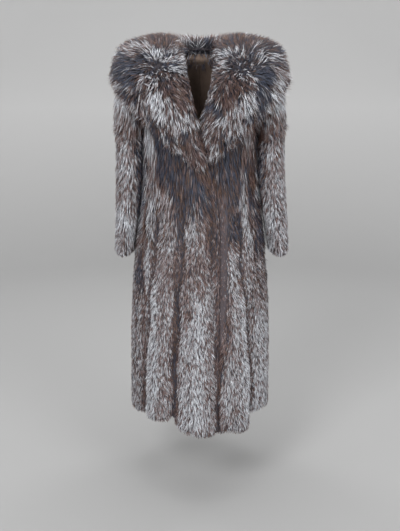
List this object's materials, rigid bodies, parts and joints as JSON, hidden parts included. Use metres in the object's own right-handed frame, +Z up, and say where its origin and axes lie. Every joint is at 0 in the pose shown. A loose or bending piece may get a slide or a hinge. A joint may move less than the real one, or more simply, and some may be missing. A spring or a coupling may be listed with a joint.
{
  "type": "fur coat",
  "caption": "Full-length fox fur coat in its worn, hollow form, with a very wide shawl collar, set-in sleeves, a lapped front and a rolled, scalloped hem.",
  "frame": {"origin": "on the body's axis, at the height where the shoulder seams meet the neck; the wearer's shoulders hold the coat there", "axes": "+Z up along the coat's length, the front faces -Y, +X is the wearer's left"},
  "size_m": [0.586, 0.4738, 1.2916],
  "materials": {
    "body_fur": "long silver fox fur, silver, taupe and charcoal strips",
    "sleeve_fur": "long silver fox fur, mostly silver over taupe",
    "collar_fur": "very long silver fox fur, dark brown and charcoal with white bands"
  },
  "bodies": {
    "root": {"front_right": "body_fur", "front_left": "body_fur", "back_right": "body_fur", "back_left": "body_fur", "sleeve_head_right": "sleeve_fur", "sleeve_head_left": "sleeve_fur", "sleeve_right": "sleeve_fur", "sleeve_left": "sleeve_fur", "collar_right": "collar_fur", "collar_left": "collar_fur"}
  },
  "joints": []
}
